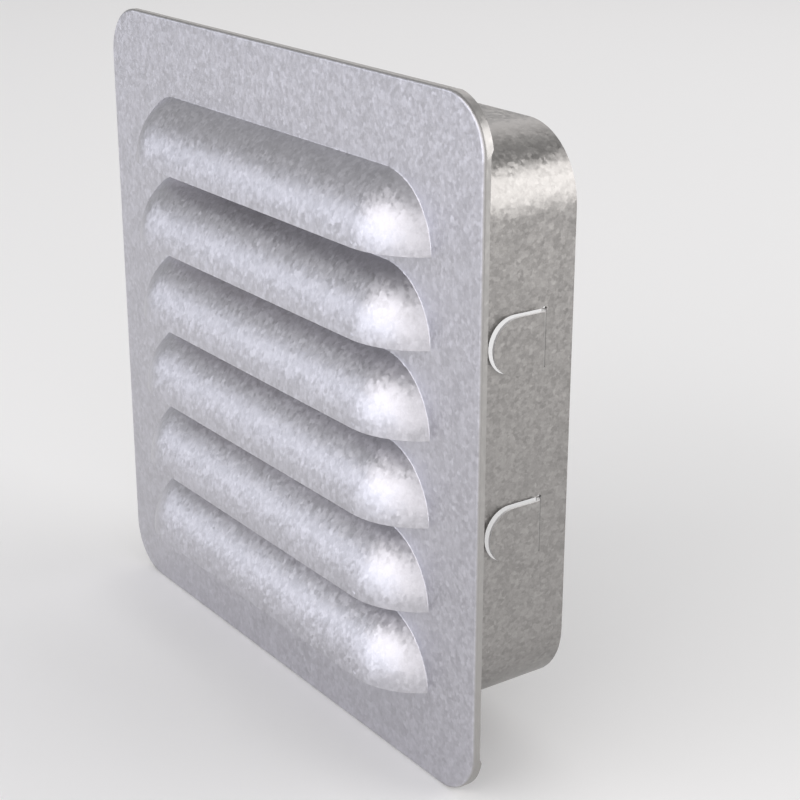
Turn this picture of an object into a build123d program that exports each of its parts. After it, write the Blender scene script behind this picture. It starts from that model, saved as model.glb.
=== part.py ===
from build123d import *
import os
from math import atan2, sqrt, tan

# Louvred wall grille in galvanised sheet steel, in millimetres.
# A pressed plate with six rain hoods is spot-welded to a square collar,
# which slides into the hole in the wall and is held there by spring tabs.
# The origin is the middle of the plate on the face of the wall.
# +Y goes into the wall, +Z is up, and the hoods stand out towards -Y.

# Sheet steel of both pieces
sheet = 0.7

# Plate and its turned rim
plate_size = 175.0
plate_corner = 14.0
plate_bend = 0.1
rim_depth = 1.95
ear_depth = 2.7
ear_inset = 2.5
ear_blend = 1.4
ear_round = 1.2

# Louvre hoods
hood_count = 6
hood_pitch = 22.5
hood_length = 137.0
hood_rise = 18.0
hood_reach = 10.3
hood_root = 0.3
field_offset = 0.8

# Collar
collar_size = 148.0
collar_corner = 18.5
collar_reach = 35.8
corner_relief = 1.5

# Welding lugs along the collar's front edge
lug_length = 80.0
lug_width = 8.0
lug_bend = 0.5
lug_round = 3.0
weld_gap = 0.0
weld_count = 3
weld_pitch = 32.0
weld_radius = 2.2
weld_dent = 0.15

# Lap seam where the strip's ends meet, in the bottom wall
lap_length = 12.0
lap_place = -48.0
lap_joggle = 1.4
seam_groove = 0.35

# Spring tabs, two in each side wall
tab_height = 14.8
tab_length = 16.75
tab_setback = 9.0
tab_slit = 0.18
tab_lift = 2.0
tab_step = 1.1
tab_bend = 0.3
tab_relief = 0.8
tab_spacing = 48.6
tab_offset = 0.5

# Places that follow from the sizes
plate_front = -ear_depth
plate_back = plate_front + sheet
rim_back = plate_front + rim_depth
ear_start = plate_size / 2 - plate_corner + ear_inset
hollow_rise = sqrt(hood_rise**2 - 2 * hood_reach * sheet)
top_lip = field_offset + ((hood_count - 1) * hood_pitch - hood_rise) / 2
collar_half = collar_size / 2
lug_face = plate_back + weld_gap
collar_front = lug_face + corner_relief
tab_root = collar_reach - tab_setback
tab_nose = tab_root - tab_length
clear = 5.0


def round_corner(sketch, place, radius):
    corner = sketch.vertices().sort_by_distance(place)[0]
    fillet(corner, radius=radius)


# One hood: a straight barrel of circular section with a ball-shaped turn at each end, cut off level
# along its lip. Its wall stands upright at the lip and runs into the face of the plate by a small bend.
# The same form, set in by the sheet, hollows it out.
def hood_section(plane, base, rise, root, foot):
    with BuildSketch(plane) as section:
        with BuildLine():
            crown = TangentArc((base - hood_reach, 0), (base, rise), tangent=(0, 1))
            Polyline(crown @ 1, (base, rise + root), (base + foot, rise + root), (base + foot, 0), crown @ 0)
        make_face()
        round_corner(section, (base, rise), root)
    return section.sketch


def hood_form(base, rise, root, foot):
    run = hood_length / 2 - hood_rise
    with BuildPart() as form:
        extrude(hood_section(Plane.YZ, base, rise, root, foot), amount=run, both=True)
        for side in (-1, 1):
            pivot = Axis((side * run, 0, 0), (0, side, 0))
            section = hood_section(Plane.YZ.offset(side * run), base, rise, root, foot)
            revolve(section, axis=pivot, revolution_arc=90)
    return form.part


hood_skin = hood_form(plate_front, hood_rise, hood_root, sheet / 2)
hood_hollow = hood_form(plate_back, hollow_rise, hood_root + sheet, clear)
hood_places = [(0, 0, top_lip - hood_pitch * row) for row in range(hood_count)]


# The pressed plate: a shallow tray with its rim turned back, deeper at the four drawn corners
with BuildPart() as louvre_plate:
    with BuildSketch(Plane.XZ):
        RectangleRounded(plate_size, plate_size, plate_corner)
    extrude(amount=ear_depth)
    front = louvre_plate.faces().sort_by(Axis.Y)[0]
    fillet(front.edges(), radius=plate_bend + sheet)
    offset(amount=-sheet, openings=louvre_plate.faces().sort_by(Axis.Y)[-1])

    # The rim steps back along each straight side, between the corners
    across = Plane(origin=(0, 0, 0), x_dir=(0, 0, 1), z_dir=(-1, 0, 0))
    for rim_plane in (Plane.XY, across):
        with BuildSketch(rim_plane) as rim_relief:
            Polygon(
                (-ear_start, clear),
                (-ear_start, 0),
                (-ear_start + ear_blend, rim_back),
                (ear_start - ear_blend, rim_back),
                (ear_start, 0),
                (ear_start, clear),
                align=None,
            )
            fillet(rim_relief.vertices().group_by(Axis.Y)[0], radius=ear_round)
        extrude(amount=plate_size, both=True, mode=Mode.SUBTRACT)

    # The hoods are lanced along their lips and pressed out of the face
    with Locations(*hood_places):
        add(hood_skin)
    with Locations(*hood_places):
        add(hood_hollow, mode=Mode.SUBTRACT)
louvre_plate.part.label = "louvre_plate"


# One welding lug, on the top wall: the collar's front edge folded outwards
with BuildPart() as lug:
    with BuildSketch(Plane.YZ) as lug_section:
        Polygon(
            (collar_front, collar_half - sheet),
            (lug_face, collar_half - sheet),
            (lug_face, collar_half + lug_width),
            (lug_face + sheet, collar_half + lug_width),
            (lug_face + sheet, collar_half),
            (collar_front, collar_half),
            align=None,
        )
        round_corner(lug_section, (lug_face, collar_half - sheet), lug_bend + sheet)
        round_corner(lug_section, (lug_face + sheet, collar_half), lug_bend)
    extrude(amount=lug_length / 2, both=True)
    fillet(lug.edges().filter_by(Axis.Y).group_by(Axis.Z)[-1], radius=lug_round)
    with BuildSketch(Plane.XZ.offset(-(lug_face + sheet))):
        with Locations((0, collar_half + lug_width / 2)):
            with GridLocations(weld_pitch, 1, weld_count, 1):
                Circle(weld_radius)
    extrude(amount=weld_dent, mode=Mode.SUBTRACT)


# The spring tab of each side wall and the window it is cut from, at mid height
def tab_outline(plane, inset, root):
    nose_radius = tab_height / 2 - inset
    nose_centre = tab_nose + tab_height / 2
    with BuildSketch(plane) as outline:
        with Locations((nose_centre, 0)):
            Circle(nose_radius)
        with Locations(((nose_centre + root) / 2, 0)):
            Rectangle(root - nose_centre, 2 * nose_radius)
    return outline.sketch


with BuildPart() as tab_windows:
    extrude(tab_outline(Plane.YZ.offset(collar_half - clear), 0, tab_root), amount=2 * clear)
    with BuildSketch(Plane.YZ.offset(collar_half - clear)):
        with Locations((tab_root, 0)):
            with GridLocations(1, tab_height - tab_relief, 1, 2):
                Circle(tab_relief)
    extrude(amount=2 * clear)
    mirror(about=Plane.YZ)

with BuildPart() as spring_tabs:
    miter = sheet * tan(atan2(tab_lift, tab_step) / 2)
    wall_in = collar_half - sheet
    tab_heel = tab_root + tab_bend + sheet
    with BuildSketch(Plane.XY) as tab_side:
        Polygon(
            (wall_in, tab_heel),
            (collar_half, tab_heel),
            (collar_half, tab_root),
            (collar_half + tab_lift, tab_root - tab_step),
            (collar_half + tab_lift, tab_nose),
            (wall_in + tab_lift, tab_nose),
            (wall_in + tab_lift, tab_root - tab_step - miter),
            (wall_in, tab_root - miter),
            align=None,
        )
        round_corner(tab_side, (collar_half, tab_root), tab_bend)
        round_corner(tab_side, (collar_half + tab_lift, tab_root - tab_step), tab_bend + sheet)
        round_corner(tab_side, (wall_in + tab_lift, tab_root - tab_step - miter), tab_bend)
        round_corner(tab_side, (wall_in, tab_root - miter), tab_bend + sheet)
    extrude(amount=tab_height / 2, both=True)
    extrude(tab_outline(Plane.YZ, tab_slit, tab_heel), amount=collar_size, mode=Mode.INTERSECT)
    mirror(about=Plane.YZ)

tab_places = [(0, 0, tab_offset + side * tab_spacing / 2) for side in (-1, 1)]


# The collar: a strip bent to a rounded square, lapped at the bottom
with BuildPart() as wall_collar:
    with BuildSketch(Plane.XZ.offset(-collar_reach)):
        RectangleRounded(collar_size, collar_size, collar_corner)
        inner = collar_size - 2 * sheet
        RectangleRounded(inner, inner, collar_corner - sheet, mode=Mode.SUBTRACT)
    extrude(amount=collar_reach - collar_front)

    # Lap seam: the inner end of the strip joggles in over the outer end
    lap_start = lap_place - lap_length / 2
    lap_end = lap_place + lap_length / 2
    floor = -collar_half + sheet
    with BuildSketch(Plane.XZ.offset(-collar_reach)):
        Polygon(
            (lap_start, floor),
            (lap_start, floor + sheet),
            (lap_end, floor + sheet),
            (lap_end + lap_joggle, floor),
            align=None,
        )
    extrude(amount=collar_reach - collar_front)
    with BuildSketch(Plane.XZ.offset(-collar_reach)):
        Polygon(
            (lap_end, -collar_half),
            (lap_end, -collar_half + seam_groove),
            (lap_end + lap_joggle, -collar_half),
            align=None,
        )
    extrude(amount=collar_reach - collar_front, mode=Mode.SUBTRACT)

    # Welding lugs on the four straight sides
    for quarter in range(4):
        add(lug.part, rotation=(0, 90 * quarter, 0))

    # Spring tabs in the two side walls
    with Locations(*tab_places):
        add(tab_windows.part, mode=Mode.SUBTRACT)
    with Locations(*tab_places):
        add(spring_tabs.part)
wall_collar.part.label = "wall_collar"


os.makedirs("parts", exist_ok=True)
export_step(louvre_plate.part, "parts/louvre_plate.step")
export_step(wall_collar.part, "parts/wall_collar.step")
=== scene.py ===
from math import radians

import bpy
from mathutils import Matrix, Vector


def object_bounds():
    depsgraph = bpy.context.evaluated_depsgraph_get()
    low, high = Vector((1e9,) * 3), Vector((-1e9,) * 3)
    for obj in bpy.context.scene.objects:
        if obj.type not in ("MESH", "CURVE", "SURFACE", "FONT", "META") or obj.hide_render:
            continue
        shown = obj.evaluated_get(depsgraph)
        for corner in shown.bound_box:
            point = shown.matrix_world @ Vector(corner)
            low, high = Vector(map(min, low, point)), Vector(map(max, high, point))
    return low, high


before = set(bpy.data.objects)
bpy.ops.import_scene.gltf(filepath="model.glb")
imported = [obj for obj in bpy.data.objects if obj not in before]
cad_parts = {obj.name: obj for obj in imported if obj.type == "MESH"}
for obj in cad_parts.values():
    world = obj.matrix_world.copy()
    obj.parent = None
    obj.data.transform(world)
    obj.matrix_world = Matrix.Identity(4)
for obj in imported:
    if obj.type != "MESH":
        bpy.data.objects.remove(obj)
cad_low, cad_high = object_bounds()


# The louvred plate: one sheet of hot-dip galvanised steel, lanced and pressed into rain hoods, with
# its rim turned back. Its zinc has frozen into fine grains that each catch the light a little
# differently. The press leaves the face half bright. The zinc of the turned rim is painted darker:
# painted shade.
class Shade:
    """A value inside a material. Arithmetic on it adds Math nodes to the material."""

    def __init__(self, tree, socket=None):
        self.tree = tree
        self.socket = socket

    def node(self, kind, settings, inputs, output=0):
        made = self.tree.nodes.new(kind)
        for name, value in settings.items():
            setattr(made, name, value)
        for name, value in inputs.items():
            if isinstance(value, Shade):
                self.tree.links.new(value.socket, made.inputs[name])
            else:
                made.inputs[name].default_value = value
        return Shade(self.tree, made.outputs[output] if made.outputs else None)

    def axis(self, letter):
        return self.node("ShaderNodeSeparateXYZ", {}, {0: self}, letter)

    def vector(self, operation, inputs, output="Vector"):
        return self.node("ShaderNodeVectorMath", {"operation": operation}, {0: self, **inputs}, output)

    def maths(self, operation, first, second):
        return self.node("ShaderNodeMath", {"operation": operation}, {0: first, 1: second})

    def __add__(self, other):
        return self.maths("ADD", self, other)

    __radd__ = __add__

    def __mul__(self, other):
        return self.maths("MULTIPLY", self, other)

    __rmul__ = __mul__

    def __sub__(self, other):
        return self.maths("SUBTRACT", self, other)

    def __rsub__(self, other):
        return self.maths("SUBTRACT", other, self)

    def __gt__(self, other):
        return self.maths("GREATER_THAN", self, other)

    def __abs__(self):
        return self.node("ShaderNodeMath", {"operation": "ABSOLUTE"}, {0: self})


def blend(sheet, where, below, above):
    below, above = [c if isinstance(c, Shade) else (*c, 1.0) for c in (below, above)]
    return sheet.node("ShaderNodeMix", {"data_type": "RGBA"}, {0: where, 6: below, 7: above}, 2)


same_way = 0.9
grains_per_metre = 1100.0
grain_softness = 0.8
grain_share = 0.4
grain_tilt = 0.12
waves_per_metre = 1000.0
wave_height = 0.0015
flecks_per_metre = 2000.0
fleck_share = 0.35
clouds_per_metre = 200.0
cloud_share = 0.25
gloss_change = 0.2
centre = (0.5, 0.5, 0.5)


def galvanised(name, dull, bright, roughness, rolling, marks_and_shade):
    material = bpy.data.materials.new(name)
    material.use_nodes = True
    tree = material.node_tree
    tree.nodes.clear()
    sheet = Shade(tree)
    place = sheet.node("ShaderNodeTexCoord", {}, {}, "Object")

    # The way the sheet faces: the smoothed way, where it keeps close to that of the face itself
    smooth = sheet.node("ShaderNodeNewGeometry", {}, {}, "Normal")
    facet = sheet.node("ShaderNodeNewGeometry", {}, {}, "True Normal")
    alike = smooth.vector("DOT_PRODUCT", {1: facet}, "Value") > same_way
    normal = sheet.node("ShaderNodeMix", {"data_type": "VECTOR"}, {0: alike, 4: facet, 5: smooth}, 1)

    # The grains of zinc, with wavy borders, drawn out a little the way the sheet was rolled
    drawn = place.vector("MULTIPLY", {1: rolling})
    waves = {"Vector": drawn, "Scale": waves_per_metre, "Detail": 3.0}
    wavy = sheet.node("ShaderNodeTexNoise", {}, waves, "Color").vector("SUBTRACT", {1: centre})
    grown = drawn.vector("ADD", {1: wavy.vector("SCALE", {"Scale": wave_height})})
    frozen = {"Vector": grown, "Scale": grains_per_metre, "Smoothness": grain_softness}
    spangle = sheet.node("ShaderNodeTexVoronoi", {"feature": "SMOOTH_F1"}, frozen, "Color")
    grain = sheet.node("ShaderNodeSeparateColor", {}, {"Color": spangle}, "Red")
    flecks = {"Vector": drawn, "Scale": flecks_per_metre, "Detail": 2.0}
    fleck = sheet.node("ShaderNodeTexNoise", {}, flecks, "Fac")
    clouds = {"Vector": place, "Scale": clouds_per_metre, "Detail": 4.0}
    cloud = sheet.node("ShaderNodeTexNoise", {}, clouds, "Fac")
    tone = grain * grain_share + fleck * fleck_share + cloud * cloud_share

    # Each grain's surface leans its own way
    lean = spangle.vector("SUBTRACT", {1: centre}).vector("SCALE", {"Scale": grain_tilt})
    facing = normal.vector("ADD", {1: lean}).vector("NORMALIZE", {})

    zinc = blend(sheet, tone, dull, bright)
    colour, metal = marks_and_shade(sheet, place, normal, zinc)
    gloss = (tone - 0.5) * gloss_change + roughness
    finish = {"Base Color": colour, "Metallic": metal, "Roughness": gloss, "Normal": facing}
    surface = sheet.node("ShaderNodeBsdfPrincipled", {}, finish)
    sheet.node("ShaderNodeOutputMaterial", {}, {"Surface": surface})
    return material


# Painted shade: beyond this rounded square the zinc of the turned rim is painted darker.
corner_centre = (0.0735, 1.0, 0.0735)
rim_shade_from = 0.0135
rim_shade_past = 0.0139
rim_shade_colour = (0.4, 0.39, 0.38)


def shaded_rim(sheet, place, normal, zinc):
    beyond = place.vector("ABSOLUTE", {}).vector("SUBTRACT", {1: corner_centre})
    reach = beyond.vector("MAXIMUM", {1: (0.0, 0.0, 0.0)}).vector("LENGTH", {}, "Value")
    band = {"Value": reach, "From Min": rim_shade_from, "From Max": rim_shade_past}
    rim_shade = sheet.node("ShaderNodeMapRange", {}, band, "Result")
    return blend(sheet, rim_shade, zinc, rim_shade_colour), 1.0


def dress(node, material):
    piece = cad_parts[node]
    piece.data.materials.clear()
    piece.data.materials.append(material)


plate_dull = (0.41, 0.405, 0.43)
plate_bright = (0.68, 0.672, 0.715)
plate_roughness = 0.42
plate_rolling = (1.0, 1.0, 0.85)
plate_zinc = galvanised(
    "plate_zinc", plate_dull, plate_bright, plate_roughness, plate_rolling, shaded_rim
)
dress("louvre_plate", plate_zinc)


# The wall collar: a strip of the same galvanised steel bent to a rounded square and spot-welded
# behind the plate. Its zinc is painted darker and a little warmer than the plate's: painted shade on
# sides that face away from the lights. The cut edges of its spring tabs are bare steel, painted near
# white as a glint, and a thin dark line of painted shade runs where each tab bends.
wall_side = 0.0739
tab_side = 0.0741
tab_front = 0.005
tab_hinge = 0.0272
# Painted shade: a thin dark line along each tab's bend, where the raised tab meets the wall.
crease_reach = 0.0003
crease_shade_strength = 0.45
tabs_middle = 0.0005
tab_offset = 0.0243
tab_reach = 0.0072
crease_shade_colour = (0.1, 0.1, 0.1)
# Bare steel of the tabs' cut edges, painted near white as a glint.
bare_steel_and_glint = (0.97, 0.97, 0.97)
bare_haze = 0.8


def tab_marks(sheet, place, normal, zinc):
    out = abs(place.axis("X"))
    deep = place.axis("Y")
    # The cut edges: bare steel with a painted glint.
    cut = (out > tab_side) * (deep > tab_front) * (1.0 - abs(normal.axis("X")))
    # Painted shade along each tab's bend.
    hinge = 1.0 - (abs(deep - tab_hinge) > crease_reach)
    beside = 1.0 - (abs(abs(place.axis("Z") - tabs_middle) - tab_offset) > tab_reach)
    crease_shade = hinge * beside * (out > wall_side) * crease_shade_strength
    colour = blend(sheet, crease_shade, zinc, crease_shade_colour)
    return blend(sheet, cut, colour, bare_steel_and_glint), 1.0 - cut * bare_haze


# Painted shade: the collar's zinc colours are darker and warmer than the plate's, as its sides face
# away from the lights.
collar_shaded_dull = (0.205, 0.198, 0.191)
collar_shaded_bright = (0.47, 0.456, 0.443)
collar_roughness = 0.36
collar_rolling = (1.0, 0.85, 1.0)
shaded_collar_zinc = galvanised(
    "shaded_collar_zinc", collar_shaded_dull, collar_shaded_bright, collar_roughness, collar_rolling, tab_marks
)
dress("wall_collar", shaded_collar_zinc)


# The studio: a wide sheet of pale paper under the grille, a plain grey room, and large soft lights.
# The cool ones lie low in front, and the strongest stands behind on the right.
floor_size = 20.0
paper_colour = (0.9, 0.9, 0.9, 1.0)
paper_roughness = 0.9
bpy.ops.object.select_all(action="DESELECT")
bpy.ops.mesh.primitive_plane_add(size=floor_size, location=(0, 0, cad_low.z))
floor = bpy.context.object
floor.name = "floor"
paper = bpy.data.materials.new("floor_paper")
paper.use_nodes = True
paper.node_tree.nodes["Principled BSDF"].inputs["Base Color"].default_value = paper_colour
paper.node_tree.nodes["Principled BSDF"].inputs["Roughness"].default_value = paper_roughness
floor.data.materials.append(paper)

room_colour = (1.0, 1.0, 1.0, 1.0)
room_light = 0.46
world = bpy.data.worlds.new("studio")
bpy.context.scene.world = world
world.use_nodes = True
world.node_tree.nodes["Background"].inputs["Color"].default_value = room_colour
world.node_tree.nodes["Background"].inputs["Strength"].default_value = room_light


def softbox(name, place, width, height, power, colour):
    lamp = bpy.data.lights.new(name, "AREA")
    lamp.shape = "RECTANGLE"
    lamp.size = width
    lamp.size_y = height
    lamp.energy = power
    lamp.color = colour
    box = bpy.data.objects.new(name, lamp)
    bpy.context.scene.collection.objects.link(box)
    box.location = place
    box.rotation_euler = (-Vector(place)).to_track_quat("-Z", "Y").to_euler()


cool = (0.87, 0.9, 1.0)
white = (1.0, 0.97, 0.97)
warm = (1.0, 0.985, 0.98)
softbox("front_low", (-0.31, -1.97, 0.14), 2.2, 0.8, 11.0, cool)
softbox("front", (0.0, -1.73, 1.0), 2.2, 0.9, 13.0, white)
softbox("right_low", (1.41, -1.41, 0.14), 1.8, 0.8, 6.5, white)
softbox("right", (1.44, -0.9, 1.06), 1.4, 1.0, 4.0, white)
softbox("rear_right", (1.34, 1.34, 0.68), 1.8, 1.5, 23.0, warm)
softbox("rear_left", (-1.08, 1.2, 1.18), 2.0, 1.2, 6.5, white)
softbox("left", (-1.56, -1.22, 0.31), 1.2, 0.5, 2.5, cool)


# The camera stands to the right of the grille and a little above it, about half a metre away,
# and looks down at it through a long lens.
turn_angle = 54.636
dip_angle = 20.244
roll_angle = 0.0946
view = bpy.data.cameras.new("camera")
view.sensor_width = 36.0
view.lens = 80.88
camera = bpy.data.objects.new("camera", view)
bpy.context.scene.collection.objects.link(camera)
turn = Matrix.Rotation(radians(turn_angle), 4, "Z")
tip = Matrix.Rotation(radians(90 - dip_angle), 4, "X")
roll = Matrix.Rotation(radians(roll_angle), 4, "Z")
camera.rotation_euler = (turn @ tip @ roll).to_euler()
camera.location = (0.38662, -0.23708, 0.15920)
bpy.context.scene.camera = camera
bpy.context.scene.view_settings.view_transform = "Standard"
